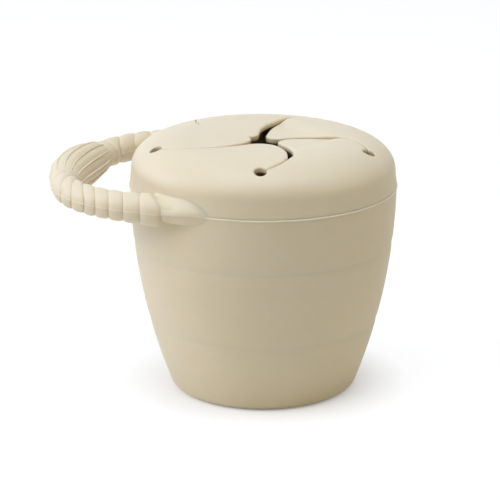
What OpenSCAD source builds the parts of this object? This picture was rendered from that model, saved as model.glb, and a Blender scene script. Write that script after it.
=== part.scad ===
// Collapsible snack cup for toddlers, with a flap lid and a beaded carry loop.
// Millimetres, +Z up. The origin is the middle of the flat underside, and the
// carry loop points along -X. The cup is three tiers of one soft moulding: the
// rim tier sinks over the base tier while the middle tier turns inside out. The
// lid lifts off the rim, and its five flaps bend along the sides of a pentagon.

/* [Overall] */
// Outer diameter of the cup at the ledge that the lid stands on
cup_d = 87.9; // [84:0.1:92]
// Height from the table to the top of the lid
total_h = 84.8; // [82:0.1:90]
// Height of the ledge that the lid stands on
ledge_h = 68.9; // [67:0.1:71]

/* [Cup wall] */
// Radius of the bulged side, seen from the side
belly_r = 195; // [180:1:230]
// Height at which the bulged side stands upright
belly_h = 72; // [68:0.5:76]
// Wall thickness
wall_t = 2.6; // [2.0:0.1:3.0]
// Floor thickness
floor_t = 3.0; // [2.0:0.1:4.0]
// Radius of the outer edge of the base
base_round = 4.0; // [2:0.5:6]
// Radius of the inner corner at the floor
floor_round = 6.0; // [4:0.5:8]

/* [Folds] */
// Height of the lower fold
fold_low_h = 24; // [20:0.5:27]
// Height of the upper fold
fold_high_h = 50; // [46:0.5:54]
// Wall thickness left at a fold
fold_t = 1.2; // [0.8:0.1:1.6]
// Height of the thinned strip on each side of a fold
fold_w = 2.2; // [1.5:0.1:3.0]
// Depth of the faint hollow outside a fold
fold_dip = 0.2; // [0.1:0.05:0.3]

/* [Neck under the lid] */
// Height of the neck above the ledge, as a share of the lid's height
neck_share = 0.39; // [0.31:0.01:0.41]
// Neck wall thickness
neck_t = 1.9; // [1.6:0.1:2.1]
// Thickness of the rounded bead round the neck's lip
lip_bead = 0.6; // [0.3:0.1:0.7]
// Clearance between the neck's bead and the lid's skirt
lid_fit = 0.3; // [0.25:0.05:0.5]
// Width of the raised moulding line round the ledge
line_w = 0.5; // [0.3:0.1:0.8]
// Height of the raised moulding line
line_proud = 0.2; // [0.1:0.05:0.3]

/* [Lid] */
// Thickness of the lid's flat top and its flaps
lid_t = 2.0; // [1.6:0.1:2.2]
// Thickness of the lid's skirt at the ledge
skirt_t = 3.0; // [2.6:0.1:3.4]
// How far the skirt draws in below the shoulder
skirt_draft = 0.5; // [0:0.1:0.8]
// Radius of the flat middle of the lid
flat_r = 28.4; // [27:0.1:29.5]
// Height of the lid's rounded shoulder, as a share of the lid's height
shoulder_share = 0.6855; // [0.66:0.0005:0.78]

/* [Lid slits] */
// Number of slits, and so of flaps
flap_count = 5; // [5]
// Distance from the middle of the lid to each relief hole
relief_r = 36.6; // [35.5:0.1:37.5]
// Diameter of a relief hole
relief_d = 4.3; // [3.6:0.1:4.6]
// Distance from the middle of the lid to the peak of a slit's bow
bow_x = 21; // [19:0.5:23]
// How far a slit bows sideways
bow = 7.45; // [6.5:0.05:8]
// Width of a slit
slit_w = 0.5; // [0.4:0.05:0.6]
// Radius of a flap's rounded tip
tip_round = 4.5; // [3.5:0.1:5]
// Clearance round the rolled root of a flap
hinge_gap = 0.35; // [0.3:0.05:0.4]

/* [Carry loop] */
// Reach of the loop's centreline from the cup's axis
loop_reach = 64.6; // [62:0.2:68]
// How far inside the cup's side the straights of the loop's centreline run
loop_tuck = 2.25; // [1.45:0.05:3.45]
// Distance from the cup's axis at which the arms start to bend
loop_start = 20.6; // [19:0.2:22]
// Squareness of the loop's bend: 2 is an ellipse
loop_n = 2.7; // [2.5:0.1:3.1]
// Beads on each arm
bead_count = 12; // [11:1:13]
// Radius of the bead next to the cup
bead_r_root = 5.2; // [5:0.1:5.5]
// Radius of the bead next to the grip
bead_r_end = 4.9; // [4.6:0.1:5.2]
// Length of the bead next to the grip, as a share of the one next to the cup
bead_taper = 0.68; // [0.6:0.01:1]
// Depth of the groove between two beads
bead_groove = 0.8; // [0.5:0.1:1.0]
// Length of the smooth fairing that joins an arm to the cup
fairing_len = 18; // [15:0.5:20]
// Radius of the fairing where it meets the first bead
fairing_r = 4.8; // [4.2:0.1:5.1]
// Radius of the fairing's tip, inside the cup's wall
fairing_tip = 0.8; // [0.5:0.1:1.5]

/* [Grip] */
// Length of the fluted grip
grip_len = 32; // [30:0.5:34]
// Diameter of the grip over its ridges
grip_d = 14.6; // [13.5:0.1:15.5]
// Diameter of the grip at its ends
grip_end_d = 8.2; // [7.4:0.1:9]
// Number of flutes round the grip
flute_count = 16; // [12:1:18]
// Depth of a flute at the middle of the grip
flute_depth = 0.6; // [0.4:0.1:0.9]

/* [Hidden] */

cream = [0.86, 0.81, 0.72];
cream_shade = [0.82, 0.77, 0.67];
cream_light = [0.90, 0.86, 0.78];

// Steps of the revolved curves: height of one facet, and angle of one facet.
rise_step = 2;
turn_step = 7.5;
$fn = 96;

cup_r = cup_d / 2;
reach_out = cup_d;         // longer than anything that a cutting shape has to pass

// ---------------------------------------------------------------- cup profile
// The side of the cup is one arc. Its centre lies across the axis, level with
// belly_h, so a wall of even thickness is the same arc with a shorter radius.
function arc_x(r, z) = cup_r - belly_r + sqrt(pow(r, 2) - pow(belly_h - z, 2));
function outer_x(z) = arc_x(belly_r, z);
function inner_x(z) = arc_x(belly_r - wall_t, z);
function side_points(z0, z1) = let(n = ceil(abs(z1 - z0) / rise_step))
    [for (i = [0:n]) let(z = z0 + (z1 - z0) * i / n) [outer_x(z), z]];
function inside_points(z0, z1) = let(n = ceil(abs(z1 - z0) / rise_step))
    [for (i = [0:n]) let(z = z0 + (z1 - z0) * i / n) [inner_x(z), z]];

// A corner of radius c between a level face at height z and a side arc of radius r.
function corner_lean(r, z, c) = asin((belly_h - z - c) / (r - c));
function corner_points(r, z, c) =
    let(lean = corner_lean(r, z, c),
        meet = z + c * (1 - sin(lean)),
        x = arc_x(r, meet) - c * cos(lean),
        n = ceil((90 - lean) / turn_step))
    [for (i = [0:n]) let(a = -90 + (90 - lean) * i / n) [x + c * cos(a), z + c + c * sin(a)]];
function corner_top(r, z, c) = z + c * (1 - sin(corner_lean(r, z, c)));

// The wall is thinned from inside at a fold, and dips a little outside.
function fold_outside(z) = [outer_x(z) - fold_dip, z];
function fold_inside(z) = [outer_x(z) - fold_dip - fold_t, z];

lid_h = total_h - ledge_h;
lid_in = cup_r - skirt_t;                  // inside of the lid's skirt
neck_out = lid_in - lid_fit;               // outside of the bead round the lip
neck_x = neck_out - lip_bead;              // outside of the neck below the bead
neck_in = neck_x - neck_t;
lip_h = ledge_h + neck_share * lid_h;
lip_round = (neck_out - neck_in) / 2;      // the lip is a half-round bead
under_ledge_h = ledge_h - wall_t;          // where the neck's inside starts to widen

module cup_base() {
    color(cream_shade) rotate_extrude()
        polygon(concat(
            [[0, 0]],
            corner_points(belly_r, 0, base_round),
            side_points(corner_top(belly_r, 0, base_round) + 1, fold_low_h - fold_w),
            [fold_outside(fold_low_h), fold_inside(fold_low_h)],
            inside_points(fold_low_h - fold_w,
                          corner_top(belly_r - wall_t, floor_t, floor_round) + 1),
            reverse(corner_points(belly_r - wall_t, floor_t, floor_round)),
            [[0, floor_t]]));
}

module cup_middle() {
    color(cream) rotate_extrude()
        polygon(concat(
            [fold_outside(fold_low_h)],
            side_points(fold_low_h + fold_w, fold_high_h - fold_w),
            [fold_outside(fold_high_h), fold_inside(fold_high_h)],
            inside_points(fold_high_h - fold_w, fold_low_h + fold_w),
            [fold_inside(fold_low_h)]));
}

module cup_rim() {
    widen = inner_x(under_ledge_h) - neck_in;
    color(cream_shade) rotate_extrude() {
        polygon(concat(
            [fold_outside(fold_high_h)],
            side_points(fold_high_h + fold_w, ledge_h - line_w),
            [[cup_r + line_proud, ledge_h - line_w / 2],
             [cup_r, ledge_h], [neck_x, ledge_h],
             [neck_x, lip_h - 2 * lip_round], [neck_out - lip_round, lip_h - 2 * lip_round],
             [neck_out - lip_round, lip_h - lip_round], [neck_in, lip_h - lip_round],
             [neck_in, under_ledge_h]],
            inside_points(under_ledge_h - widen, fold_high_h + fold_w),
            [fold_inside(fold_high_h)]));
        translate([neck_out - lip_round, lip_h - lip_round]) circle(r = lip_round);
    }
}

function reverse(list) = [for (i = [len(list) - 1:-1:0]) list[i]];

// ---------------------------------------------------------------- carry loop
// One half of the loop, from the root of the rear arm to the tip of the bend.
loop_half_w = cup_r - loop_tuck;
loop_a = loop_reach - loop_start;
loop_steps = 90;
function loop_at(t) = [-loop_start - loop_a * pow(cos(t), 2 / loop_n),
                       loop_half_w * pow(sin(t), 2 / loop_n)];
loop_pts = [for (i = [0:loop_steps]) loop_at(90 - 90 * i / loop_steps)];
loop_run = [for (i = 0, s = 0; i <= loop_steps;
                 i = i + 1, s = s + (i <= loop_steps ? norm(loop_pts[i] - loop_pts[i - 1]) : 0)) s];
loop_xs = [for (i = [0:loop_steps]) [loop_run[i], loop_pts[i][0]]];
loop_ys = [for (i = [0:loop_steps]) [loop_run[i], loop_pts[i][1]]];
loop_back = [for (i = [loop_steps:-1:0]) [loop_pts[i][1], loop_run[i]]];
arm_run = lookup(grip_len / 2, loop_back);   // from the arm's root to the grip
// A point on the centreline, s along it. Before the root the line runs on straight.
function loop_point(s) = [lookup(s, loop_xs) - min(s, 0), lookup(s, loop_ys)];
// The arm's end is square to the grip.
function loop_heading(s) = s >= arm_run ? -90 :
    let(d = loop_point(s + 0.4) - loop_point(s - 0.4)) atan2(d[1], d[0]);

// The beads fill the arm, and get shorter and slimmer towards the grip.
function bead_share(i) = i / (bead_count - 1);
bead_mean = (1 + bead_taper) / 2;
function bead_len(i) = arm_run / bead_count * (1 + (bead_taper - 1) * bead_share(i)) / bead_mean;
function bead_start(i) = i == 0 ? 0 : bead_start(i - 1) + bead_len(i - 1);
function bead_r(i) = bead_r_root + (bead_r_end - bead_r_root) * bead_share(i);

// Stations along the arm, each with the place along it and the radius there.
bead_shape = [[0, 1], [0.05, 0.55], [0.16, 0.15], [0.5, 0], [0.84, 0.15], [0.95, 0.55]];
arm_stations = concat(
    [[-fairing_len, fairing_tip], [-fairing_len / 2, (fairing_tip + fairing_r) / 2],
     [-0.1, fairing_r]],
    [for (i = [0:bead_count - 1], b = bead_shape)
        [bead_start(i) + b[0] * bead_len(i), bead_r(i) - b[1] * bead_groove]],
    [[arm_run, bead_r_end - bead_groove]]);
arm_sides = 20;
function arm_ring(s, r) = let(p = loop_point(s), h = loop_heading(s))
    [for (i = [0:arm_sides - 1]) let(a = 360 * i / arm_sides)
        [p[0] - r * cos(a) * sin(h), p[1] + r * cos(a) * cos(h), ledge_h + r * sin(a)]];

// A closed skin over rings that all have the same number of points.
module skin(rings, turn) {
    sides = len(rings[0]);
    last = (len(rings) - 1) * sides;
    ends = [[for (i = [0:sides - 1]) turn ? i : sides - 1 - i],
            [for (i = [0:sides - 1]) last + (turn ? sides - 1 - i : i)]];
    walls = [for (j = [0:len(rings) - 2], i = [0:sides - 1])
        let(a = j * sides + i, b = j * sides + (i + 1) % sides)
        each turn ? [[a, a + sides, b + sides], [a, b + sides, b]]
                  : [[a, b + sides, a + sides], [a, b, b + sides]]];
    polyhedron([for (ring = rings) each ring], concat(ends, walls));
}

module arm() {
    difference() {
        skin([for (st = arm_stations) arm_ring(st[0], st[1])], true);
        arm_clearance();
    }
}

// What the arms are trimmed to: the side of the cup below the ledge, and the
// way that the lid's skirt takes above it.
module arm_clearance() {
    rotate_extrude() polygon(concat(
        [[0, fold_high_h]],
        side_points(fold_high_h, ledge_h - line_w),
        [[cup_r + line_proud, ledge_h - line_w / 2], [cup_r, ledge_h],
         [cup_r + lid_fit, ledge_h], [cup_r + lid_fit, total_h], [0, total_h]]));
}

module handle_rear_arm() {
    color(cream_light) arm();
}

module handle_front_arm() {
    color(cream_light) mirror([0, 1, 0]) arm();
}

// The grip's outline dips at each flute, most in the middle of its length.
grip_rings = 14;
flute_facets = 4;
grip_sides = flute_count * flute_facets;
function grip_swell(y) = sqrt(max(0, 1 - pow(2 * y / grip_len, 2)));
function grip_r(y) = grip_end_d / 2 + (grip_d - grip_end_d) / 2 * grip_swell(y);
function grip_ring(y) = [for (i = [0:grip_sides - 1])
    let(a = 360 * i / grip_sides,
        r = grip_r(y) - flute_depth * grip_swell(y) * abs(sin(flute_count * a / 2)))
    [r * cos(a) - loop_reach, y, ledge_h + r * sin(a)]];

module handle_grip() {
    color(cream_light)
        skin([for (j = [0:grip_rings]) grip_ring(-grip_len / 2 * cos(180 * j / grip_rings))], true);
}

// ---------------------------------------------------------------- lid
shoulder_x = cup_r - skirt_draft;          // outside of the lid where the shoulder starts
shoulder_h = shoulder_share * lid_h;
shoulder_z = total_h - shoulder_h;
function shoulder_points(w, h) = [for (a = [0:turn_step:90])
    [flat_r + w * cos(a), shoulder_z + h * sin(a)]];

// Plan of one slit, with its relief hole on +X: two arcs that meet at the bow's
// peak, one from the relief hole and one from the middle of the lid.
outer_arc_r = (pow(relief_r - bow_x, 2) + pow(bow, 2)) / (2 * bow);
inner_arc_r = (pow(bow_x, 2) + pow(bow, 2)) / (2 * bow);
flap_turn = 360 / flap_count;

// The flaps bend along a pentagon with its corners on the slits, on the flat top.
function corner_gap(a) = norm([flat_r * cos(a) - bow_x,
                               flat_r * sin(a) - bow + outer_arc_r]) - outer_arc_r;
function corner_find(lo, hi, n) = let(mid = (lo + hi) / 2)
    n == 0 ? mid : corner_gap(mid) < 0 ? corner_find(mid, hi, n - 1) : corner_find(lo, mid, n - 1);
corner_a = corner_find(0, 40, 30);
hinge_x = flat_r * cos(flap_turn / 2);     // from the middle of the lid to a hinge line
side_half = flat_r * sin(flap_turn / 2);   // half the length of a side of the pentagon
root_r = lid_t / 2;
root_step = 15;                            // angle of one facet of the rolled root
hinge_z = total_h - root_r;
hinge_a = corner_a + flap_turn / 2;        // direction of the first hinge line

// The corner of a flap next to its own slit stays with the shell, so that the
// rolled root clears the neighbouring flap.
slit_lean = 90 - hinge_a
    - atan2(flat_r * cos(corner_a) - bow_x, flat_r * sin(corner_a) - bow + outer_arc_r);
ear_len = (root_r + hinge_gap + slit_w) / sin(slit_lean);

// Everything on the clockwise side of a slit, out to an edge moved by grow.
module slit_side(grow) {
    intersection() {
        translate([bow_x, bow - outer_arc_r]) circle(r = outer_arc_r + grow, $fn = 360);
        translate([bow_x, -reach_out]) square([reach_out, 2 * reach_out]);
    }
    intersection() {
        translate([bow_x, bow - inner_arc_r]) circle(r = inner_arc_r + grow, $fn = 360);
        translate([bow_x - reach_out, -reach_out]) square([reach_out, 2 * reach_out]);
    }
}

// The middle of a flap's tip circle: tip_round inside both of its slit edges.
own_o = [bow_x, bow - inner_arc_r];
next_o = [own_o[0] * cos(flap_turn) - own_o[1] * sin(flap_turn),
          own_o[0] * sin(flap_turn) + own_o[1] * cos(flap_turn)];
own_d = inner_arc_r + slit_w / 2 + tip_round;
next_d = inner_arc_r - slit_w / 2 - tip_round;
o_gap = norm(next_o - own_o);
o_along = (pow(own_d, 2) - pow(next_d, 2) + pow(o_gap, 2)) / (2 * o_gap);
o_side = sqrt(pow(own_d, 2) - pow(o_along, 2));
o_dir = (next_o - own_o) / o_gap;
tip_o = own_o + o_along * o_dir + o_side * [-o_dir[1], o_dir[0]];
tip_own = own_o + (tip_o - own_o) * (own_d - tip_round) / own_d;
tip_next = next_o + (tip_o - next_o) * (next_d + tip_round) / next_d;

// Plan of a flap whose slit has its relief hole on +X.
module flap_plan() {
    difference() {
        intersection() {
            rotate(flap_turn) slit_side(-slit_w / 2);
            rotate(hinge_a) translate([hinge_x + lid_t - reach_out, ear_len - side_half])
                square([reach_out, 2 * side_half]);
        }
        slit_side(slit_w / 2);
        difference() {
            polygon([tip_o, tip_own, -tip_o, tip_next]);
            translate(tip_o) circle(r = tip_round);
        }
    }
}

module on_hinge() {
    rotate(hinge_a) translate([hinge_x, 0, hinge_z]) rotate([-90, 0, 0]) children();
}

// A flap is a slab whose root is rolled round the hinge line, cut to its plan.
module flap() {
    intersection() {
        on_hinge() linear_extrude(2 * reach_out, center = true)
            polygon(concat([[-reach_out, -root_r]],
                           [for (a = [-90:root_step:90]) [root_r * cos(a), root_r * sin(a)]],
                           [[-reach_out, root_r]]));
        translate([0, 0, ledge_h]) linear_extrude(total_h) flap_plan();
    }
}

module lid_flap(i) {
    color(cream) rotate(flap_turn * (i - 1)) flap();
}
module lid_flap_1() { lid_flap(1); }
module lid_flap_2() { lid_flap(2); }
module lid_flap_3() { lid_flap(3); }
module lid_flap_4() { lid_flap(4); }
module lid_flap_5() { lid_flap(5); }

// What one flap, its slit and its relief hole take out of the lid.
module flap_cut() {
    deep = lid_t + shoulder_h;
    ear = ear_len - hinge_gap;
    translate([0, 0, total_h - deep]) linear_extrude(2 * deep) {
        difference() {
            intersection() {
                rotate(hinge_a) translate([0, -side_half]) square([hinge_x, 2 * side_half]);
                circle(r = flat_r);
            }
            difference() {
                rotate(hinge_a) translate([0, -side_half]) square([hinge_x, ear]);
                slit_side(slit_w / 2);
            }
        }
        translate([relief_r, 0]) circle(d = relief_d);
        intersection() {
            difference() {
                slit_side(slit_w / 2);
                slit_side(-slit_w / 2);
            }
            translate([bow_x, 0]) square([relief_r - bow_x, bow + slit_w]);
        }
    }
    on_hinge() translate([0, 0, -side_half + ear])
        cylinder(r = root_r + hinge_gap, h = 2 * side_half - ear);
}

module lid_shell() {
    color(cream_light) difference() {
        rotate_extrude() polygon(concat(
            [[lid_in, ledge_h], [cup_r, ledge_h]],
            shoulder_points(shoulder_x - flat_r, shoulder_h),
            [[0, total_h], [0, total_h - lid_t]],
            reverse(shoulder_points(lid_in - flat_r, shoulder_h - lid_t))));
        for (i = [0:flap_count - 1]) rotate(flap_turn * i) flap_cut();
    }
}

cup_base();
cup_middle();
cup_rim();
handle_front_arm();
handle_rear_arm();
handle_grip();
lid_shell();
lid_flap_1();
lid_flap_2();
lid_flap_3();
lid_flap_4();
lid_flap_5();
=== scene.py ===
# %% [markdown]
# # A toddler's snack cup in soft silicone
#
# The real object is a cream silicone cup that pushes flat to two fifths of its height.
# Its lid has five curved slits, so a small hand reaches in and the snacks stay put,
# and a loop of beads round a fluted grip hangs it on a stroller. This lesson builds
# it over a CAD frame that already holds the true sizes, with Blender adding the
# rounded lips, the curved slits and the skin of the silicone.
#
# The frame is loaded first. Every size below is in millimetres until it is placed.

# %% Load the frame
import math

import bmesh
import bpy
import numpy as np
from mathutils import Matrix, Vector
from mathutils.geometry import delaunay_2d_cdt


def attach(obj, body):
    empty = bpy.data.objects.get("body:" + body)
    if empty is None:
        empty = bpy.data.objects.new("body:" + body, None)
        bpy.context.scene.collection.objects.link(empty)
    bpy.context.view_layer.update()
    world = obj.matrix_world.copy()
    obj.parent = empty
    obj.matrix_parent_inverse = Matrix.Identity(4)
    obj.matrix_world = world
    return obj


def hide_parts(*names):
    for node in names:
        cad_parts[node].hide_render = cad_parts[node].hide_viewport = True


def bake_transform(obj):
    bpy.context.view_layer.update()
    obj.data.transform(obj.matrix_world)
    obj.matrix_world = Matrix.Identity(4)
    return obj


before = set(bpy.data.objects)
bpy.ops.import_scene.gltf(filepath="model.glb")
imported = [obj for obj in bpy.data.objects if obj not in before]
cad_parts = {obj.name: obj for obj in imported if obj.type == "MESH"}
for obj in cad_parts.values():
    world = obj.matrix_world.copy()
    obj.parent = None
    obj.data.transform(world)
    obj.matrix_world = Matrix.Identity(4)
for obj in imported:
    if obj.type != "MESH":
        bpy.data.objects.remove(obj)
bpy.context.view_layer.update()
MM = 0.001
bpy.context.scene.view_settings.view_transform = "Standard"

# %% [markdown]
# The camera comes first, because every later choice is judged through it. A product
# photograph is taken with a long lens from a little above, so that the lid reads as a
# flat ellipse and the sides stay almost upright. A camera can be placed by pointing it
# with a Track To constraint. Here its axes are worked out instead, because the angle is
# known: 19.4 degrees round from the front, 17.5 degrees above the table. The small shift
# slides the picture without turning the camera.

# %% Camera
CAMERA_TURN, CAMERA_RISE = 19.4, 17.5
CAMERA_AWAY = 850
LOOK_AT = Vector((0, 0, 42))
LENS, SENSOR = 184.1, 36
SHIFT_X, SHIFT_Y = -0.0266, 0.0212
NEAR, FAR = 0.05, 20


def outwards(turn, rise):
    """The direction from the cup to a place, from its turn and rise in degrees."""
    a, e = math.radians(turn), math.radians(rise)
    return Vector((math.sin(a) * math.cos(e), -math.cos(a) * math.cos(e), math.sin(e)))


camera_data = bpy.data.cameras.new("camera")
camera_data.lens = LENS
camera_data.sensor_width = SENSOR
camera_data.shift_x, camera_data.shift_y = SHIFT_X, SHIFT_Y
camera_data.clip_start, camera_data.clip_end = NEAR, FAR
camera = bpy.data.objects.new("camera", camera_data)
bpy.context.collection.objects.link(camera)
bpy.context.scene.camera = camera

backwards = outwards(CAMERA_TURN, CAMERA_RISE)
camera.matrix_world = (Matrix.Translation((LOOK_AT + backwards * CAMERA_AWAY) * MM)
                       @ backwards.to_track_quat("Z", "Y").to_matrix().to_4x4())
print("camera at", tuple(round(v, 3) for v in camera.location))

# %% [markdown]
# Shader maths reads best as plain sums. Blender adds and multiplies with Math nodes, so
# this small class wraps a socket and turns each Python operator into one such node. The
# reflected forms matter too: without them `1 - mask` would fail, because the number
# stands on the left. Any other node comes from `make`, which takes the node's type, then
# its settings and which output to read, then the values or links of its sockets. A
# socket that shares its name with another is called by its number, as in `_6`.

# %% A socket that understands arithmetic
class Wire:
    """An output socket of a node tree, with Python's operators."""

    def __init__(self, tree, socket):
        self.tree, self.socket = tree, socket

    def math(self, operation, *values):
        node = self.tree.nodes.new("ShaderNodeMath")
        node.operation = operation
        for slot, value in zip(node.inputs, values):
            put(self.tree, slot, value)
        return Wire(self.tree, node.outputs[0])

    def __add__(self, other):
        return self.math("ADD", self, other)

    def __radd__(self, other):
        return self.math("ADD", other, self)

    def __sub__(self, other):
        return self.math("SUBTRACT", self, other)

    def __rsub__(self, other):
        return self.math("SUBTRACT", other, self)

    def __mul__(self, other):
        return self.math("MULTIPLY", self, other)

    def __rmul__(self, other):
        return self.math("MULTIPLY", other, self)

    def clipped(self):
        return self.math("MINIMUM", self.math("MAXIMUM", self, 0), 1)


def put(tree, slot, value):
    """Gives an input socket a link or a plain value."""
    if isinstance(value, Wire):
        tree.links.new(value.socket, slot)
    else:
        slot.default_value = value


def make(tree, kind, settings=None, **inputs):
    """A node of a kind, its settings first, then its sockets by name."""
    node = tree.nodes.new("ShaderNode" + kind)
    settings = dict(settings or {})
    output = settings.pop("output", 0)
    for name, value in settings.items():
        setattr(node, name, value)
    for name, value in inputs.items():
        socket = int(name[1:]) if name[1:].isdigit() else name.replace("_", " ")
        put(tree, node.inputs[socket], value)
    return Wire(tree, node.outputs[output])


# %% [markdown]
# Food-grade silicone is matt and a little waxy. Light goes a short way in, which warms
# the shaded side, and the top layer gives a broad soft sheen. Three things keep it from
# looking like painted plaster: a faint cloudiness of the pigment, a fine grain that the
# mould leaves, and a polish that varies a little from place to place. All three come from
# noise on Object coordinates, so they stay put when a piece moves. The grain goes through
# a Bump node, and the scattering is a constant on the shader's own sockets. The pale line
# along the mould's raised ridge is a painted highlight, placed by height, so it also runs
# round the inside of the neck.

# %% Silicone
def silicone(name, colour, shade, rough, grain, seed, line=None):
    """A matt silicone whose pigment drifts from colour to shade. A painted highlight makes it
    paler on the mould's line, which is given by its height and half its width in millimetres."""
    material = bpy.data.materials.new(name)
    material.use_nodes = True
    tree = material.node_tree
    tree.nodes.clear()
    place = make(tree, "TexCoord", {"output": "Object"})
    moved = make(tree, "Mapping", None, Vector=place, Location=(seed * 0.13, seed * 0.07, 0))
    cloud = make(tree, "TexNoise", None, Vector=moved, Scale=38.0, Detail=3.0, Roughness=0.55)
    mottle = make(tree, "TexNoise", None, Vector=moved, Scale=420.0, Detail=2.0, Roughness=0.5)
    pores = make(tree, "TexNoise", None, Vector=moved, Scale=3200.0, Detail=2.0, Roughness=0.6)
    drift = ((cloud - 0.5) * 1.6 + (mottle - 0.5) * 0.5 + 0.5).clipped()
    pigment_and_highlight = make(tree, "Mix", {"data_type": "RGBA", "output": 2},
                _0=drift, _6=(*colour, 1), _7=(*shade, 1))
    # Painted highlight: near the mould's line the colour turns pale, standing in for the light that the
    # raised line catches.
    if line is not None:
        height = make(tree, "SeparateXYZ", {"output": 2}, Vector=place)
        line_height, line_half = line
        off_highlight = (height - line_height * MM) * (1 / (line_half * MM))
        pigment_and_highlight = make(tree, "Mix", {"data_type": "RGBA", "output": 2},
                    _0=(1 - off_highlight * off_highlight).clipped(), _6=pigment_and_highlight, _7=(*PAINTED_HIGHLIGHT, 1))
    relief = make(tree, "Bump", None, Strength=grain, Distance=0.0001,
                  Height=pores * 0.7 + mottle * 0.6)
    skin = make(tree, "BsdfPrincipled", None,
                Base_Color=pigment_and_highlight,
                Roughness=rough + (cloud - 0.5) * 0.12 + (mottle - 0.5) * 0.06,
                IOR=1.41,
                Subsurface_Weight=0.22,
                Subsurface_Radius=(1.0, 0.62, 0.36),
                Subsurface_Scale=0.0022,
                Normal=relief)
    output = tree.nodes.new("ShaderNodeOutputMaterial")
    tree.links.new(skin.socket, output.inputs["Surface"])
    return material


CREAM = (0.780, 0.690, 0.505)
CREAM_DEEP = (0.755, 0.660, 0.470)
# The pale colour is a painted highlight, laid along the mould's raised line on the cup and the loop.
PAINTED_HIGHLIGHT = (0.880, 0.800, 0.630)
cup_skin = silicone("cup_silicone", CREAM, CREAM_DEEP, 0.50, 0.10, 1, line=(68.62, 0.34))
lid_skin = silicone("lid_silicone", CREAM, CREAM_DEEP, 0.46, 0.08, 2)
loop_skin = silicone("loop_silicone", CREAM, CREAM_DEEP, 0.48, 0.08, 3, line=(68.9, 0.17))
print("silicone ready:", cup_skin.name, lid_skin.name, loop_skin.name)

# %% [markdown]
# Most of the cup is turned, like a pot on a wheel: one outline, spun round the upright
# axis. A real mould never leaves a knife edge, so each outer corner of an outline gets a
# small arc before it is spun. `rounded` takes corners as (radius, height, arc) and puts
# the arc in; `spun` turns the outline with bmesh's spin operator, closes the seam, and
# turns the faces outwards.

# %% Turning an outline
def rounded(outline, closed=False, steps=5):
    """The outline, with an arc at each corner that names one."""
    done = []
    for i, point in enumerate(outline):
        if len(point) == 2:
            done.append(tuple(point))
            continue
        here = Vector(point[:2])
        before = Vector(outline[i - 1][:2]) - here
        after = Vector(outline[(i + 1) % len(outline)][:2]) - here
        before.normalize()
        after.normalize()
        half = before.angle(after) / 2
        centre = here + (before + after).normalized() * point[2] / math.sin(half)
        first = here + before * point[2] / math.tan(half) - centre
        last = here + after * point[2] / math.tan(half) - centre
        swing = first.angle(last)
        for k in range(steps + 1):
            part = k / steps
            step = (first * math.sin((1 - part) * swing) + last * math.sin(part * swing)) / math.sin(swing)
            done.append(tuple(centre + step))
    return done + [done[0]] if closed else done


def spun(outline, steps=160):
    """A mesh of the outline of (radius, height) points, turned once round Z."""
    bm = bmesh.new()
    points = [bm.verts.new((r * MM, 0, z * MM)) for r, z in outline]
    edges = [bm.edges.new(pair) for pair in zip(points, points[1:])]
    bmesh.ops.spin(bm, geom=points + edges, cent=(0, 0, 0), axis=(0, 0, 1),
                   angle=math.tau, steps=steps, use_merge=True)
    bmesh.ops.remove_doubles(bm, verts=bm.verts, dist=2e-6)
    bmesh.ops.recalc_face_normals(bm, faces=bm.faces)
    return bm


def placed(name, bm):
    """An object of the mesh, in the scene."""
    mesh = bpy.data.meshes.new(name)
    bm.to_mesh(mesh)
    bm.free()
    thing = bpy.data.objects.new(name, mesh)
    bpy.context.collection.objects.link(thing)
    return thing


def piece(name, bm, material, sharp=48):
    """Makes a piece of the mesh: smooth, but with its real edges kept sharp."""
    for face in bm.faces:
        face.smooth = True
    for edge in bm.edges:
        if len(edge.link_faces) == 2 and edge.calc_face_angle(0) > math.radians(sharp):
            edge.smooth = False
    thing = placed(name, bm)
    thing.data.materials.append(material)
    print(name, len(thing.data.polygons), "faces")
    return thing


# %% [markdown]
# The cup is one soft moulding in three tiers. Its side is a single shallow arc that
# bulges towards the top, and the wall is the same arc a wall's thickness further in. At
# the two folds the wall thins from inside, and outside there is only a faint hollow, two
# tenths of a millimetre deep. That is enough to catch the light as the real folds do.
#
# The tiers could be one mesh. Three meshes that meet in the folds are better here,
# because the base stays on the table, the rim slides down over it, and only the middle
# tier has to bend. The seams hide in the hollows.

# %% Cup profile
CUP_R, LEDGE_Z, TOP_Z = 43.95, 68.9, 84.8
BELLY_R, BELLY_Z, WALL = 195, 72, 2.6
FOLD_LOW, FOLD_HIGH, FOLD_HALF, FOLD_DIP, FOLD_WALL = 24, 50, 2.6, 0.2, 1.2


def side(z, inset=0):
    """Radius of the cup's side arc at a height, moved in by inset."""
    return CUP_R - BELLY_R + math.sqrt((BELLY_R - inset) ** 2 - (BELLY_Z - z) ** 2)


def near_fold(z):
    """1 at a fold, falling smoothly to 0 at the edges of its hollow."""
    gap = min(abs(z - FOLD_LOW), abs(z - FOLD_HIGH)) / FOLD_HALF
    return 0.5 + 0.5 * math.cos(math.pi * gap) if gap < 1 else 0


def outside(z):
    return side(z) - FOLD_DIP * near_fold(z)


def inside(z):
    return side(z, WALL) + (WALL - FOLD_WALL - FOLD_DIP) * near_fold(z)


def climb(radius, low, high, step=0.65):
    """Points up a side, from one height to another."""
    count = max(1, round(abs(high - low) / step))
    heights = [low + (high - low) * k / count for k in range(count + 1)]
    return [(radius(z), z) for z in heights]


print("cup side", round(side(0), 1), "mm from the axis at the table,",
      round(side(LEDGE_Z), 1), "mm at the ledge")

# %% [markdown]
# The base tier closes the cup with a flat floor and a rounded foot. The middle tier is the
# plain stretch of wall between the folds. The rim tier carries the fine raised line that
# the mould left on the ledge, and a neck with a small rounded lip that the lid fits over.
# The photograph hides the neck, so it has the shape that such cups have.

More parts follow.
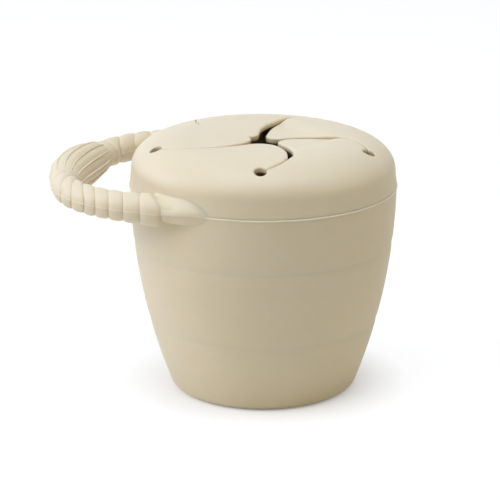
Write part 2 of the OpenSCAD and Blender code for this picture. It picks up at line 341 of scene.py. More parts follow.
# %% Three tiers of the cup
FLOOR_T, FLOOR_FLAT, FLOOR_ROUND, FOOT_ROUND = 3, 20, 6.0, 4.0
FOOT_TO, FLOOR_TO = 5, 10
base_outline = rounded([(0, 0), (FLOOR_FLAT, 0), (side(0), 0, FOOT_ROUND)]
                       + climb(outside, FOOT_TO, FOLD_LOW) + climb(inside, FOLD_LOW, FLOOR_TO)
                       + [(side(FLOOR_T, WALL), FLOOR_T, FLOOR_ROUND), (FLOOR_FLAT, FLOOR_T), (0, FLOOR_T)],
                       steps=10)
cup_base = piece("cup_base_tier", spun(base_outline), cup_skin)

middle_outline = climb(outside, FOLD_LOW, FOLD_HIGH) + climb(inside, FOLD_HIGH, FOLD_LOW)
cup_middle = piece("cup_middle_tier", spun(middle_outline + middle_outline[:1]), cup_skin)

LINE_PROUD, LINE_HALF, LINE_FOOT = 0.22, 0.28, 0.4
NECK_OUT, NECK_X, NECK_IN, LIP_Z = 40.65, 40.05, 38.15, 75.1
LIP_FROM, LIP_FULL, NECK_FOOT, RIM_TO = 72.6, 73.3, 66.4, 62.5
line_z = LEDGE_Z - LINE_HALF
moulding_line = [(CUP_R + LINE_PROUD * math.cos(a), line_z + LINE_HALF * math.sin(a))
                 for a in np.linspace(-math.pi / 2, math.pi / 2, 7)]
rim_outline = rounded(climb(outside, FOLD_HIGH, line_z - LINE_HALF - LINE_FOOT) + moulding_line
                      + [(NECK_X, LEDGE_Z, 0.5), (NECK_X, LIP_FROM), (NECK_OUT, LIP_FULL, 0.4),
                         (NECK_OUT, LIP_Z, 1.0), (NECK_IN, LIP_Z, 1.0), (NECK_IN, NECK_FOOT, 1.5)]
                      + climb(inside, RIM_TO, FOLD_HIGH), closed=True)
cup_rim = piece("cup_rim_tier", spun(rim_outline), cup_skin)

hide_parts("cup_base")
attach(cup_base, "base")
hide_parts("cup_rim")
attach(cup_rim, "rim")
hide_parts("cup_middle")
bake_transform(cup_middle)

# %% [markdown]
# The lid is what makes this cup, so it gets the most care. Its plan is five bowed slits
# in a pinwheel, each ending in a round relief hole that stops the silicone from tearing.
# Two arcs make each slit: one from the hole to the peak of the bow, one on to the middle.
# Most slits are hairlines near their holes and open towards the middle, where the five
# rounded tips leave a star.
#
# A Boolean could cut such slits from a dome, but it would leave ragged facets that a
# bevel can't round. Instead, the plan is drawn flat: one closed line runs along every
# slit, hole and tip. The distance to that line then says how far each point is from a
# cut edge, which is all that is needed to round the lips.

# %% Plan of the slits
FLAPS, TURN = 5, math.radians(72)
HOLE_X, HOLE_R = 36.2, 2.0
BOW_X, BOW = 21.5, 9.2
FLAT_R, RING_R = 28.4, 39.9
# Half the width of each slit at its hole, at the peak of its bow and at the middle.
SLIT_HALF = [(0.18, 0.38, 0.44), (0.08, 0.15, 1.10), (0.22, 0.03, 0.20),
             (0.15, 0.22, 0.36), (0.15, 0.90, 1.20)]
TIP_R = (4.0, 3.8, 5.6, 5.4, 5.0)
# Radius of the lips along each slit: one slit has closed so tightly that it hardly shows.
SLIT_LIP, HOLE_LIP, TIP_LIP = (0.70, 0.70, 0.10, 0.60, 0.70), 0.55, 0.5
# Where a slit runs into its hole, and the share of its inner arc that is drawn and opens.
HOLE_EASE, INNER_DRAWN, INNER_OPENS = 0.3, 0.96, 0.6
# How many points draw a hole, the three stretches of a slit's edge and a tip.
HOLE_POINTS, CORNER_AT, BOW_POINTS, INNER_POINTS, TIP_POINTS = 42, 23, 18, 62, 34
outer_r = ((HOLE_X - BOW_X) ** 2 + BOW ** 2) / (2 * BOW)
inner_r = (BOW_X ** 2 + BOW ** 2) / (2 * BOW)
outer_c = Vector((BOW_X, BOW - outer_r))
inner_c = Vector((BOW_X, BOW - inner_r))
hole_turn = math.atan2(-outer_c.y, HOLE_X - BOW_X)


def swung(point, angle):
    """A plan point, turned about the lid's middle."""
    return Vector((point[0] * math.cos(angle) - point[1] * math.sin(angle),
                   point[0] * math.sin(angle) + point[1] * math.cos(angle)))


def arc(centre, radius, angles):
    return [centre + float(radius) * Vector((math.cos(a), math.sin(a))) for a in angles]


def slit_angle(r):
    """Direction of the first slit at a distance from the lid's middle."""
    centre, radius = (inner_c, inner_r) if r < math.hypot(BOW_X, BOW) else (outer_c, outer_r)
    reach = (r * r + centre.length_squared - radius ** 2) / (2 * r * centre.length)
    return math.atan2(centre.y, centre.x) + math.acos(max(-1, min(1, reach)))


def eased(part, first, last):
    """A value that goes smoothly from first to last as part goes from 0 to 1."""
    part = min(1, max(0, part))
    return first + (last - first) * part * part * (3 - 2 * part)


def slit_edge(k, own):
    """One edge of slit k, drawn on +X, from its hole inwards: own is 1 on flap k's side."""
    at_hole, at_bow, at_middle = SLIT_HALF[k % FLAPS]
    corner = math.atan2(outer_c.y, outer_c.x) + math.acos(
        (FLAT_R ** 2 - outer_c.length_squared - (outer_r + own * at_hole) ** 2)
        / (2 * (outer_r + own * at_hole) * outer_c.length))
    leave = hole_turn + (HOLE_R + HOLE_EASE) / outer_r
    edge = arc(outer_c, outer_r + own * at_hole, np.linspace(leave, corner, CORNER_AT + 1))
    for part in np.linspace(0, 1, BOW_POINTS)[1:]:
        edge += arc(outer_c, outer_r + own * eased(part, at_hole, at_bow),
                    [corner + (math.pi / 2 - corner) * part])
    span = math.atan2(BOW_X, -inner_c.y)
    for part in np.linspace(0, INNER_DRAWN, INNER_POINTS)[1:]:
        edge += arc(inner_c, inner_r + own * eased(part / INNER_OPENS, at_bow, at_middle),
                    [math.pi / 2 + span * part])
    return edge


print("slit arcs of", round(outer_r, 1), "and", round(inner_r, 1), "mm radius")

# %% [markdown]
# Each flap's tip is a circle that touches both of its slits. Its middle is found as the
# meeting point of two larger circles, and the slit edges are cut where it touches them.
# The pieces of line are then strung together and swung round five times. Where one lip
# meets another of a different radius, a weighted mean over 21 points joins them softly.

# %% The closed line along every cut
next_c = swung(inner_c, TURN)
apart = (next_c - inner_c).length
ahead = (next_c - inner_c) / apart
slit_heads = hole_turn + math.pi / 2


def up_to(edge, touch):
    """A slit edge up to the point where the tip's circle touches it."""
    stop = min(range(len(edge)), key=lambda i: (edge[i] - touch).length)
    return edge[:stop]


def flap_line(k):
    """The hole of slit k, then flap k's outline, as if slit k lay on +X."""
    tip_r = TIP_R[k]
    own_d = inner_r + SLIT_HALF[k][2] + tip_r
    next_d = inner_r - SLIT_HALF[(k + 1) % FLAPS][2] - tip_r
    along = (own_d ** 2 - next_d ** 2 + apart ** 2) / (2 * apart)
    tip_c = (inner_c + along * ahead
             + math.sqrt(own_d ** 2 - along ** 2) * Vector((-ahead.y, ahead.x)))
    touch_own = tip_c + (inner_c - tip_c).normalized() * tip_r
    touch_next = tip_c + (tip_c - next_c).normalized() * tip_r
    tip_from = math.atan2(touch_own.y - tip_c.y, touch_own.x - tip_c.x)
    tip_to = math.atan2(touch_next.y - tip_c.y, touch_next.x - tip_c.x)
    while tip_to > tip_from:
        tip_to -= math.tau
    soft = HOLE_EASE / HOLE_R
    print("flap", k + 1, "tip circle at", tuple(round(v, 2) for v in tip_c))
    stretches = [
        (HOLE_LIP, arc(Vector((HOLE_X, 0)), HOLE_R,
                       np.linspace(slit_heads + soft, slit_heads + math.tau - soft, HOLE_POINTS))),
        (SLIT_LIP[k], up_to(slit_edge(k, 1), touch_own)),
        (TIP_LIP, arc(tip_c, tip_r, np.linspace(tip_from, tip_to, TIP_POINTS))),
        (SLIT_LIP[(k + 1) % FLAPS],
         [swung(p, TURN) for p in reversed(up_to(slit_edge(k + 1, -1), swung(touch_next, -TURN)))]),
    ]
    return [(point, lip) for lip, points in stretches for point in points]


cut_line, cut_lip, own_corner, next_corner = [], [], [], []
for k in range(FLAPS):
    own_corner.append(len(cut_line) + HOLE_POINTS + CORNER_AT)
    for point, lip in flap_line(k):
        cut_line.append(swung(point, TURN * k))
        cut_lip.append(lip)
    next_corner.append(len(cut_line) - 1 - CORNER_AT)
cut_line = np.array(cut_line)
BLUR = 10
blur = np.hanning(2 * BLUR + 3)[1:-1]
cut_lip = np.concatenate([cut_lip[-BLUR:], cut_lip, cut_lip[:BLUR]])
cut_lip = np.convolve(cut_lip, blur / blur.sum(), "valid")
print("cut line of", len(cut_line), "points, lips", cut_lip.min().round(2), "to", cut_lip.max().round(2))

# %% [markdown]
# `from_cut` measures how far points are from that line, and which side they are on. It
# holds for any point, so the same function thins out the filling points, throws away
# what lies in a slit, and rounds the lips.

# %% Distance from the cut
BATCH = 800
line_next = np.roll(cut_line, -1, axis=0)


def from_cut(points, also_lip=False):
    """Distance of each plan point from the cut line, negative inside a cut."""
    points = np.asarray(points, float)
    gaps, lips = np.empty(len(points)), np.empty(len(points))
    step = line_next - cut_line
    for k in range(0, len(points), BATCH):
        batch = slice(k, k + BATCH)
        rest = points[batch, None] - cut_line
        part = np.clip((rest * step).sum(2) / (step ** 2).sum(1), 0, 1)
        reach = np.sqrt(((rest - part[..., None] * step) ** 2).sum(2))
        gaps[batch] = reach.min(1)
        lips[batch] = cut_lip[reach.argmin(1)]
        y = points[batch, 1, None]
        crosses = (cut_line[:, 1] > y) != (line_next[:, 1] > y)
        with np.errstate(divide="ignore", invalid="ignore"):
            x = cut_line[:, 0] + (y - cut_line[:, 1]) * step[:, 0] / step[:, 1]
        odd = (crosses & (points[batch, 0, None] < x)).sum(1) % 2 == 1
        gaps[batch][odd] *= -1
    return (gaps, lips) if also_lip else gaps


# %% [markdown]
# The plan is filled by Blender's own Delaunay function, which keeps the lines it is given.
# Those are the ring where the turned part of the lid begins, the cut line, and the five
# straight hinge lines, each a chain of points between two corners of the cut line.

# %% Lines of the plan
RING_STEPS, HINGE_POINTS = 160, 33
HINGE_X = FLAT_R * math.cos(TURN / 2)
HINGE_TURN = slit_angle(FLAT_R) + TURN / 2


def hinge_axes(k):
    """Directions across and along the hinge line of flap k."""
    angle = HINGE_TURN + TURN * k
    return (Vector((math.cos(angle), math.sin(angle))),
            Vector((-math.sin(angle), math.cos(angle))))


ring = arc(Vector((0, 0)), RING_R, [math.tau * k / RING_STEPS for k in range(RING_STEPS)])
plan = [Vector(p) for p in ring] + [Vector(p) for p in cut_line]
lines = [(k, (k + 1) % RING_STEPS) for k in range(RING_STEPS)]
lines += [(RING_STEPS + k, RING_STEPS + (k + 1) % len(cut_line)) for k in range(len(cut_line))]

for k in range(FLAPS):
    a, b = Vector(cut_line[own_corner[k]]), Vector(cut_line[next_corner[k]])
    chain = [RING_STEPS + own_corner[k]]
    for part in np.linspace(0, 1, HINGE_POINTS)[1:-1]:
        plan.append(a.lerp(b, float(part)))
        chain.append(len(plan) - 1)
    chain.append(RING_STEPS + next_corner[k])
    lines += list(zip(chain, chain[1:]))
print("plan lines:", len(lines), "edges between", len(plan), "points")

# %% [markdown]
# Points alone fill the space between the lines: rows close along the cut, where the lips
# round over, and circles about a millimetre apart everywhere else. The tiles that fall
# inside a slit or a hole are thrown away at the end.

# %% Filling the plan
LIP, LIP_ROWS, ROW_KEPT, ROW_CLEAR = 0.70, (0.05, 0.12, 0.25, 0.42), 0.93, 0.3
CIRCLES_APART, CIRCLE_LEAST, LEAST_POINTS, HINGE_CLEAR = 0.95, 2, 12, 0.4
heading = np.roll(cut_line, -1, axis=0) - np.roll(cut_line, 1, axis=0)
heading /= np.hypot(*heading.T)[:, None]
away = np.stack([heading[:, 1], -heading[:, 0]], 1)
filling = []
for gap in (*LIP_ROWS, LIP):
    row = cut_line + away * gap
    filling.append(row[from_cut(row) > gap * ROW_KEPT])
circles = []
for k in range(int(RING_R)):
    r = RING_R - CIRCLES_APART * (k + 1)
    if r < CIRCLE_LEAST:
        break
    count = RING_STEPS if r > FLAT_R else max(LEAST_POINTS, round(math.tau * r))
    circles += arc(Vector((0, 0)), r, [math.tau * (i + 0.5 * (k % 2)) / count for i in range(count)])
circles = np.array(circles)
across_all = np.array([hinge_axes(k)[0] for k in range(FLAPS)])
off_hinge = np.abs((circles @ across_all.T) - HINGE_X).min(1) > HINGE_CLEAR
circles = circles[(from_cut(circles) > LIP + ROW_CLEAR) & off_hinge]
filling = np.concatenate(filling + [circles])
plan += [Vector(p) for p in filling]
net, _, tiles, *_ = delaunay_2d_cdt(plan, lines, [], 0, 1e-5)
net = np.array(net)
tiles = np.array([t for t in tiles if len(t) == 3])
middles = net[tiles].mean(1)
tiles = tiles[(from_cut(middles) > 0) & (np.hypot(*middles.T) < RING_R)]
middles = net[tiles].mean(1)
lip_gap, lip_size = from_cut(net, also_lip=True)
print("plan:", len(net), "points,", len(tiles), "tiles")

# %% [markdown]
# Now the flat plan is lifted. The lid is level inside 25 mm and falls away outside it as
# a quarter of a slightly squared ellipse, with its own shorter one for the inside. Near a
# cut the skin drops by a quarter circle, which makes the soft lips of the real lid.
# Extruding the faces gives the underside and the walls of every slit in one step. The real
# lid isn't pressed down evenly, so the whole lid leans by about half a degree. The lean
# grows over the lid's lowest eight millimetres, so its foot stays on the ledge.

# %% Lifting the plan
SHOULDER_Z, SHOULDER_H, LID_T, LEVEL_R, SQUARE = 73.9, 10.75, 2.0, 25, 2.25
SKIRT_X, SKIRT_IN, LEAN, LEAN_FADE = CUP_R - 0.5, 40.95, 0.010, 8


def dome(r, rim, rise):
    """Height of a shoulder that is level inside and reaches down to rim."""
    part = max(0, (r - LEVEL_R) / (rim - LEVEL_R))
    return SHOULDER_Z + rise * max(0, 1 - part ** SQUARE) ** (1 / SQUARE)


def lip_drop(gap, lip):
    """How far a round lip lies under the level, at a gap from the cut."""
    short = lip - min(lip, max(0, gap))
    return lip - math.sqrt(lip * lip - short * short)


def leaned(bm):
    """Tips the lid a little, lower towards the right of the photograph, from its foot up."""
    toward = Vector((math.cos(math.radians(CAMERA_TURN)), math.sin(math.radians(CAMERA_TURN))))
    for vert in bm.verts:
        free = eased((vert.co.z / MM - LEDGE_Z) / LEAN_FADE, 0, 1)
        vert.co.z -= LEAN * free * toward.dot(vert.co.xy)
    return bm


def lifted(chosen, sag=lambda x, y: 0):
    """A closed sheet over the chosen tiles, with rounded lips along the cuts."""
    bm = bmesh.new()
    layer = bm.verts.layers.float.new("lip")
    used = {}
    for i in np.unique(chosen):
        x, y = net[i]
        drop = lip_drop(lip_gap[i], lip_size[i])
        z = dome(math.hypot(x, y), SKIRT_X, SHOULDER_H) - drop + sag(x, y)
        used[i] = bm.verts.new((x * MM, y * MM, z * MM))
        used[i][layer] = drop
    for tile in chosen:
        bm.faces.new([used[i] for i in tile])
    under = bmesh.ops.extrude_face_region(bm, geom=bm.faces[:])["geom"]
    for vert in (v for v in under if isinstance(v, bmesh.types.BMVert)):
        x, y = vert.co.x / MM, vert.co.y / MM
        z = dome(math.hypot(x, y), SKIRT_IN, SHOULDER_H - LID_T) + vert[layer] + sag(x, y)
        vert.co.z = z * MM
    bmesh.ops.recalc_face_normals(bm, faces=bm.faces)
    return bm


polar = np.hypot(*middles.T)
slit_at = np.array([slit_angle(r) for r in polar])
sector = (((np.arctan2(middles[:, 1], middles[:, 0]) - slit_at) % math.tau) // TURN).astype(int)
on_flap = ((middles @ across_all.T) < HINGE_X).all(1)
print("tiles on flaps", int(on_flap.sum()), "on the shell", int((~on_flap).sum()))

# %% [markdown]
# The shell is the part of the plan outside the hinge lines, joined to a turned skirt. Both
# have 160 steps round, so their points meet exactly and merge. The skirt's foot has a
# small arc, because the thin dark line between lid and cup is the shadow of that arc.

# %% Lid shell
SKIRT_FOOT, SKIRT_SPREAD, SKIRT_FLARE, SKIRT_TOP_IN = CUP_R - 0.02, 0.1, 0.096, 71.5
shell = lifted(tiles[~on_flap])
rim_walls = [f for f in shell.faces
             if all(abs(math.hypot(v.co.x, v.co.y) - RING_R * MM) < 1e-6 for v in f.verts)]
bmesh.ops.delete(shell, geom=rim_walls, context="FACES_ONLY")
shell_edge = [e for e in shell.edges if not e.link_faces]
bmesh.ops.delete(shell, geom=shell_edge, context="EDGES")


def quarter(rim, rise, steps):
    """The outline of a shoulder from the ring down to its rim."""
    start = math.asin(((RING_R - LEVEL_R) / (rim - LEVEL_R)) ** (SQUARE / 2))
    return [(LEVEL_R + (rim - LEVEL_R) * math.sin(a) ** (2 / SQUARE),
             SHOULDER_Z + rise * math.cos(a) ** (2 / SQUARE))
            for a in np.linspace(start, math.pi / 2 - 1e-6, steps)]


skirt = rounded(quarter(SKIRT_X, SHOULDER_H, 12)
                + [(SKIRT_X + SKIRT_SPREAD * down, SHOULDER_Z - down) for down in (1.2, 2.6, 3.8)]
                + [(SKIRT_FOOT, LEDGE_Z, 0.35), (SKIRT_IN, LEDGE_Z, 0.5), (SKIRT_IN, SKIRT_TOP_IN)]
                + quarter(SKIRT_IN, SHOULDER_H - LID_T, 8)[::-1])
turned_skirt = spun(skirt, RING_STEPS)
carrier = bpy.data.meshes.new("skirt")
turned_skirt.to_mesh(carrier)
turned_skirt.free()
shell.from_mesh(carrier)
bpy.data.meshes.remove(carrier)
bmesh.ops.remove_doubles(shell, verts=shell.verts, dist=5e-6)
bmesh.ops.recalc_face_normals(shell, faces=shell.faces)
print("open edges in the shell:", sum(len(e.link_faces) != 2 for e in shell.edges))
lid = piece("lid_shell_skin", leaned(shell), lid_skin)
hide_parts("lid_shell")
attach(lid, "lid")

# %% [markdown]
# The five flaps are cut from the same plan, so their lips match across each slit. Real
# flaps never lie quite level after a few uses: each one here sags a little towards its
# tip, and the first and the last hang more along one side, which opens that slit. A flap
# bends in a short strip next to its hinge line, six millimetres wide; the ends of that
# strip are worked out, but nothing here turns the flap about them.

# %% Flaps
# For each flap: how far its tip sags, and how much more its two sides hang.
SAG = [(0.7, 0.6, 1.3), (0.8, 0, 0), (0.1, 0, 0), (1.7, 0, 0), (0.8, 0.3, 1.1)]
SAG_WIDTH, SAG_EARLY, SAG_CURVE = 32, 3, 1.5
BEND = 6


def sagging(k):
    """Gives the function that says how far flap k lies off the level at a place."""
    tip_sag, own_sag, next_sag = SAG[k]
    across, along_it = hinge_axes(k)

    def sag(x, y):
        inward = max(0, HINGE_X - across.dot((x, y))) / HINGE_X
        side_sag = eased(0.5 + along_it.dot((x, y)) / SAG_WIDTH, own_sag, next_sag)
        return -tip_sag * inward ** 2 - side_sag * eased(inward * SAG_EARLY, 0, 1) ** SAG_CURVE

    return sag


for k in range(FLAPS):
    across = hinge_axes(k)[0]
    petal = leaned(lifted(tiles[on_flap & (sector == k)], sagging(k)))
    flap = piece(f"lid_petal_{k + 1}", petal, lid_skin)
    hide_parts(f"lid_flap_{k + 1}")
    start = Vector((*(across * HINGE_X), TOP_Z)) * MM
    end = Vector((*(across * (HINGE_X - BEND)), TOP_Z)) * MM
    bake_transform(flap)

# %% [markdown]
# The carry loop starts as a fairing that swells out of the cup's wall, and goes on as nine
# barrel-shaped beads and a collar on each side of the grip. Beads along a bend could be
# copied one by one and turned into place, but the real ones are one moulding. So an arm is
# turned straight, like a table leg, and then each point is carried to its place on the loop.
# A raised hair of silicone runs along both sides, where the two halves of the mould met.

# %% Path of the loop
REACH, HALF_W, LOOP_START, LOOP_N, GRIP_LEN = 64.6, 41.7, 20.6, 2.7, 32
PATH_POINTS, PROBE = 721, 0.3
sweep = np.radians(np.linspace(90, 0, PATH_POINTS))
path_x = -LOOP_START - (REACH - LOOP_START) * np.cos(sweep) ** (2 / LOOP_N)
path_y = HALF_W * np.sin(sweep) ** (2 / LOOP_N)
path_run = np.concatenate([[0], np.cumsum(np.hypot(np.diff(path_x), np.diff(path_y)))])
ARM_RUN = float(np.interp(-GRIP_LEN / 2, -path_y, path_run))


def loop_point(s):
    """A point of the loop's middle line, s along it; before 0 it runs straight on."""
    return Vector((float(np.interp(s, path_run, path_x)) - min(s, 0),
                   float(np.interp(s, path_run, path_y))))


def loop_heading(s):
    """The way that the loop's middle line runs at s."""
    step = loop_point(s + PROBE) - loop_point(s - PROBE)
    return step.normalized()


print("arm length", round(ARM_RUN, 1), "mm")

# %% [markdown]
# A bead's outline is a flattened half-oval, steep at the ends and nearly level in the
# middle, so that the grooves are narrow and the crowns catch one long highlight. The first
# bead is the fattest and starts with a deep, blunt shoulder, because it bulges over the
# fairing. The last one is a short collar, whose end stays inside the grip.

# %% Outline of an arm
GROOVES = (-2.4, 6.2, 12.2, 17.7, 23.3, 28.8, 34.5, 40.5, 47.2, 54.0, 58.6)
BEAD_ROOT, BEAD_END, BEAD_FALL, GROOVE_DEPTH = 5.2, 4.8, 0.45, 0.62
ROOT_LEN, ROOT_R, COLLAR_R = 6.0, 3.4, 3.6
# The two powers of a bead's squared oval, and of the blunt shoulder of the first.
OVAL, BLUNT_OVAL = (2.4, 0.65), (6, 0.5)
# Shares of a bead at which its outline has a point, closest where it bends most.
BEAD_AT = (0.004, 0.015, 0.035, 0.07, 0.12, 0.19, 0.28, 0.39, 0.5,
           0.61, 0.72, 0.81, 0.88, 0.93, 0.965, 0.985, 0.996)
arm_outline = [(0, -ROOT_LEN), (ROOT_R, -ROOT_LEN), (ROOT_R, GROOVES[0])]
for k, (start, end) in enumerate(zip(GROOVES, GROOVES[1:])):
    crown = BEAD_END + (BEAD_ROOT - BEAD_END) * BEAD_FALL ** k
    for part in BEAD_AT:
        shoulder = k == 0 and part < 0.5
        depth = crown - ROOT_R if shoulder else GROOVE_DEPTH
        square, fullness = BLUNT_OVAL if shoulder else OVAL
        dip = depth * (1 - (1 - abs(2 * part - 1) ** square) ** fullness)
        arm_outline.append((crown - dip, start + part * (end - start)))
arm_outline += [(COLLAR_R, GROOVES[-1]), (0, GROOVES[-1] + 0.1)]
print("arm outline of", len(arm_outline), "points")

# %% [markdown]
# The grooves aren't square to the loop all the way round. In the photograph they stand
# upright and parallel, as if sliced across one line, and only turn square next to the
# grip. So a point's place along the loop also shifts with its place across it. The blunt
# end of the first bead is turned too: it reaches furthest on the outside of the loop.

# %% Bending an arm
ARM_STEPS, PARTING = 96, 0.12
SLICE_MOST, SLICE_IN, SLICE_OUT = 0.86, 6, 9
BLUNT_SHIFT, BLUNT_LEAN = 0.6, 0.37


def carried(bm, flip):
    """Takes a straight turned arm to its place along the loop."""
    for vert in bm.verts:
        x, y, s = vert.co / MM
        reach = math.hypot(x, y)
        if reach > 1 and abs(y) < 0.02:
            x *= 1 + PARTING / reach
        ahead_of = loop_heading(s)
        turn = math.atan2(-ahead_of.y, -ahead_of.x) - flip * math.radians(CAMERA_TURN)
        slope = math.tan(max(-SLICE_MOST, min(SLICE_MOST, turn)))
        slope *= eased(s / SLICE_IN, 0, 1) * eased((GROOVES[-2] - s) / SLICE_OUT, 0, 1)
        blunt = min(1, (GROOVES[1] - s) / (GROOVES[1] - GROOVES[0])) if s < GROOVES[1] else 0
        shift = BLUNT_SHIFT + BLUNT_LEAN * y / max(reach, 1)
        at = s + x * slope + blunt * min(reach, reach + x) * shift
        middle, ahead_of = loop_point(at), loop_heading(at)
        spot = middle + x * Vector((-ahead_of.y, ahead_of.x))
        vert.co = Vector((spot.x, spot.y * flip, LEDGE_Z + y)) * MM
    bmesh.ops.recalc_face_normals(bm, faces=bm.faces)
    return bm


print("an arm's slices lean by up to", round(math.degrees(SLICE_MOST)), "degrees")

# %% [markdown]
# The fairing is a grid that lies on the wall and swells outwards, highest under the first
# bead and feathered at its edges. It is pressed out of a flat sheet: first the front
# face, then an extrusion that is pushed into the wall. It runs round the wall from one
# angle to another, and reaches a little further up than down.

# %% Fairing
FAIRING_FROM, FAIRING_FULL, FAIRING_TO = 122, 112, 93
FAIRING_H, FAIRING_UP, FAIRING_DOWN, FAIRING_ROOT = 5.4, 5.5, 4.3, 0.15
EDGE_UP, EDGE_DOWN, EDGE_RUN = 1.4, 0.9, 1.4
ROOT_EASE, TAPER, FALL, LEAST_SPREAD = 0.4, 2.4, 1.3, 0.2
FAIRING_SUNK, FAIRING_BACK = 0.03, 1.5


def skin_r(z):
    """Radius of the cup's and the lid's outside at a height near the ledge."""
    return side(z) if z < LEDGE_Z else max(SKIRT_X, SKIRT_FOOT - SKIRT_FLARE * (z - LEDGE_Z))


def fairing(flip):
    """The swelling of the wall that a loop's arm grows out of."""
    bm = bmesh.new()
    bmesh.ops.create_grid(bm, x_segments=48, y_segments=36, size=0.5)
    under = bmesh.ops.extrude_face_region(bm, geom=bm.faces[:])["geom"]
    under = {v for v in under if isinstance(v, bmesh.types.BMVert)}
    for vert in bm.verts:
        along, aside = vert.co.x + 0.5, vert.co.y * 2
        angle = FAIRING_FROM + (FAIRING_TO - FAIRING_FROM) * along
        part = min(1, max(0, (FAIRING_FULL - angle) / (FAIRING_FULL - FAIRING_TO)))
        spread, edge = (FAIRING_UP, EDGE_UP) if aside > 0 else (FAIRING_DOWN, EDGE_DOWN)
        spread *= 1 - FAIRING_ROOT * (1 - eased(part / ROOT_EASE, 0, 1)) * (aside > 0)
        z = LEDGE_Z + aside * max(LEAST_SPREAD, spread * (1 - part ** TAPER) ** 0.5)
        feather = max(0, math.cos(aside * math.pi / 2)) ** (edge + EDGE_RUN * part)
        swell = FAIRING_H * (1 - part) ** FALL * feather
        swell += PARTING * (abs(aside) < 0.01) * (1 - part) - FAIRING_SUNK
        r = skin_r(z) + (-FAIRING_BACK if vert in under else swell)
        a = math.radians(angle)
        vert.co = Vector((r * math.cos(a), r * math.sin(a) * flip, z)) * MM
    bmesh.ops.recalc_face_normals(bm, faces=bm.faces)
    return bm


print("fairing from", FAIRING_FROM, "to", FAIRING_TO, "degrees, up to", FAIRING_H, "mm high")

# %% [markdown]
# An arm and its fairing are joined, and then hollowed where they meet the cup and the lid.
# Booleans do both cleanly, because all the shapes are closed. Below the ledge the arm
# keeps a thin foot inside the wall, so no gap shows. Above it, it clears the lid's skirt
# by a hair, so the lid is free to leave.

# %% Arms
ARM_FOOT, LID_CLEAR = 0.5, 0.05
CUTTER_LOW, CUTTER_BEND, CUTTER_HIGH, CUTTER_STEPS = 40, 76, 90, 240
cutter_outline = [(0, CUTTER_LOW)]
cutter_outline += [(side(z) - ARM_FOOT, z) for z in np.linspace(CUTTER_LOW, LEDGE_Z - 0.05, 24)]
cutter_outline += [(skin_r(z) + LID_CLEAR, z) for z in np.linspace(LEDGE_Z, CUTTER_BEND, 12)]
cutter_outline += [(SKIRT_X, CUTTER_HIGH), (0, CUTTER_HIGH)]
cutter = spun(cutter_outline, CUTTER_STEPS)
helpers = {}
for name, bm in (("clearance", cutter), ("rear", fairing(1)), ("front", fairing(-1))):
    helpers[name] = placed(name, bm)
for name, flip in (("rear", 1), ("front", -1)):
    whole = piece(f"whole_{name}", carried(spun(arm_outline, ARM_STEPS), flip), loop_skin)
    for operation, other in (("UNION", name), ("DIFFERENCE", "clearance")):
        step = whole.modifiers.new(operation.lower(), "BOOLEAN")
        step.operation, step.object, step.solver = operation, helpers[other], "EXACT"
    bpy.context.view_layer.update()
    trimmed = bmesh.new()
    trimmed.from_object(whole, bpy.context.evaluated_depsgraph_get())
    bpy.data.objects.remove(whole)
    bmesh.ops.remove_doubles(trimmed, verts=trimmed.verts, dist=3e-6)
    bmesh.ops.dissolve_degenerate(trimmed, edges=trimmed.edges, dist=2e-6)
    arm = piece(f"beaded_arm_{name}", trimmed, loop_skin)
    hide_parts(f"handle_{name}_arm")
    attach(arm, "rim")
for helper in helpers.values():
    bpy.data.objects.remove(helper)

# %% [markdown]
# The grip is a spindle with twelve thin ribs. Between two ribs lies a long leaf-shaped
# panel, hollowed along its sides and fuller in the middle, and both run out at the ends.
# The spindle is turned first, then pressed in between the ribs. In the photograph it sits
# a little nearer the front arm than the middle of the loop.

# %% Grip
GRIP_R, GRIP_END_R, RIBS, RIB_STEPS = 7.3, 4.2, 12, 32
PANEL_DEPTH, PANEL_FULL, RIB_HALF = 0.75, 0.5, 0.1
GRIP_FRONT, GRIP_REAR = -22.5, 12.6
CAP_IN, CAP_OUT, CAP_END = 0.7, 0.5, 0.6
grip_half, grip_middle = (GRIP_REAR - GRIP_FRONT) / 2, (GRIP_REAR + GRIP_FRONT) / 2
grip_outline = [(0, -grip_half - CAP_END), (GRIP_END_R - CAP_IN, -grip_half - CAP_OUT)]
for angle in np.linspace(0, math.pi, 61):
    swell = math.sin(angle)
    grip_outline.append((GRIP_END_R + (GRIP_R - GRIP_END_R) * swell, -grip_half * math.cos(angle)))
grip_outline += [(GRIP_END_R - CAP_IN, grip_half + CAP_OUT), (0, grip_half + CAP_END)]
spindle = spun(grip_outline, RIBS * RIB_STEPS)
for vert in spindle.verts:
    x, y, s = vert.co / MM
    reach = math.hypot(x, y)
    if reach > 1:
        swell = math.sqrt(max(0, 1 - (s / grip_half) ** 2))
        off_rib = abs((math.atan2(y, x) * RIBS / math.tau + 0.5) % 1 - 0.5)
        fuller = 1 - PANEL_FULL * math.sin(math.pi * off_rib)
        hollow = PANEL_DEPTH * swell * eased(off_rib / RIB_HALF, 0, 1) * fuller
        x, y = x * (1 - hollow / reach), y * (1 - hollow / reach)
    along = s + grip_middle
    on_loop = loop_point(ARM_RUN + GRIP_LEN / 2 - abs(along)).x
    vert.co = Vector((x + on_loop, along, LEDGE_Z + y)) * MM
bmesh.ops.recalc_face_normals(spindle, faces=spindle.faces)
grip = piece("fluted_grip", spindle, loop_skin, sharp=60)
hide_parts("handle_grip")
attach(grip, "rim")

# %% [markdown]
# The studio is a white table under soft light. The floor has to look white to the camera
# and still show the cup's soft shadow, and it must not pour extra light on the cup. So
# its material mixes a matt surface with a white glow that only the camera and mirror-like
# rays see. The glow fades where the cup stands close over the table, which leaves the
# narrow contact shadow of the photograph. The light that the table sends back up is a
# little warmer and weaker than white.

# %% Floor and world
FLOOR_SIZE, FLOOR_DROP = 3.0, 0.00005


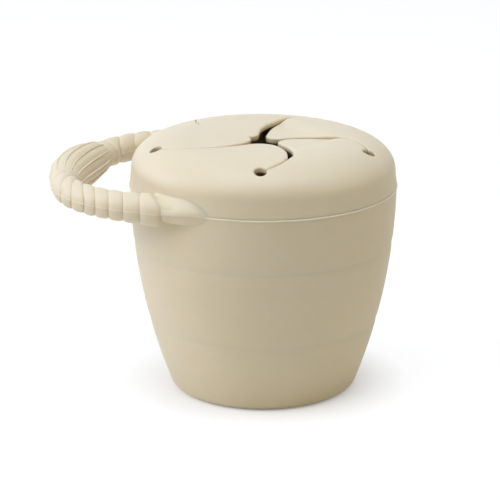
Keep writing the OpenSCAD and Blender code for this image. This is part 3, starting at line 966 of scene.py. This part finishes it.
def stage_material(name, glow, bounce):
    """A matt table: the camera and reflections see a glow, other rays the bounce colour."""
    material = bpy.data.materials.new(name)
    material.use_nodes = True
    tree = material.node_tree
    tree.nodes.clear()
    camera_ray = make(tree, "LightPath", {"output": 0})
    glossy_ray = make(tree, "LightPath", {"output": 3})
    open_sky = make(tree, "AmbientOcclusion", {"samples": 16, "output": 1}, Distance=0.018)
    seen = (camera_ray + glossy_ray).clipped() * (open_sky * 0.8 + 0.2).clipped() * glow
    paint = make(tree, "Mix", {"data_type": "RGBA", "output": 2},
                 _0=camera_ray, _6=(*bounce, 1), _7=(0.9, 0.9, 0.9, 1))
    matt = make(tree, "BsdfDiffuse", None, Color=paint)
    shine = make(tree, "Emission", None, Color=(1, 1, 1, 1), Strength=1.12)
    both = make(tree, "MixShader", None, _0=seen, _1=matt, _2=shine)
    output = tree.nodes.new("ShaderNodeOutputMaterial")
    tree.links.new(both.socket, output.inputs["Surface"])
    return material


floor_bm = bmesh.new()
bmesh.ops.create_grid(floor_bm, x_segments=1, y_segments=1, size=FLOOR_SIZE)
floor = placed("floor", floor_bm)
floor.data.materials.append(stage_material("white_table", 0.78, (0.88, 0.86, 0.79)))
floor.data.transform(Matrix.Translation((0, 0, -FLOOR_DROP)))

world = bpy.data.worlds.new("studio")
bpy.context.scene.world = world
world.use_nodes = True
tree = world.node_tree
tree.nodes.clear()
seen = (make(tree, "LightPath", {"output": 0}) + make(tree, "LightPath", {"output": 3})).clipped()
fill = make(tree, "Background", None, Color=(0, 0, 0, 1), Strength=0.0)
plain = make(tree, "Background", None, Color=(1, 1, 1, 1), Strength=1.0)
sky = make(tree, "MixShader", None, _0=seen, _1=fill, _2=plain)
tree.links.new(sky.socket, tree.nodes.new("ShaderNodeOutputWorld").inputs["Surface"])
print("stage ready:", floor.name, world.name)

# %% [markdown]
# The photograph was lit softly from all round, most from above and from the left: the lid
# and the left flank are bright, the front falls off to the right, and the far right edge
# picks up a little light again. Four round soft boxes do this. Each was rendered alone,
# and their powers and faint tints were then worked out from how bright the photograph's
# surfaces are. The sky adds nothing to them: it only shows white to the camera and in
# reflections.

# %% Lamps
LAMP_AIM = Vector((0, 0, 0.05))


def softbox(name, turn, rise, away, size, power, colour):
    """An area lamp that looks at the cup from a turn and rise about it, in degrees."""
    light = bpy.data.lights.new(name, "AREA")
    light.shape, light.size, light.energy, light.color = "DISK", size, power, colour
    lamp = bpy.data.objects.new(name, light)
    bpy.context.collection.objects.link(lamp)
    spot = outwards(turn, rise)
    lamp.matrix_world = (Matrix.Translation(spot * away + LAMP_AIM)
                         @ spot.to_track_quat("Z", "Y").to_matrix().to_4x4())
    print("lamp", name, power, "W")


softbox("left", CAMERA_TURN - 95, 20, 1.2, 0.8, 7.5, (0.73, 0.77, 1.00))
softbox("front_left", CAMERA_TURN - 50, 45, 1.2, 0.8, 4.5, (1.00, 0.90, 0.68))
softbox("top", CAMERA_TURN, 85, 1.2, 1.2, 13.0, (0.73, 0.82, 1.00))
softbox("right", CAMERA_TURN + 85, 30, 1.2, 0.8, 2.6, (1.00, 0.76, 0.36))
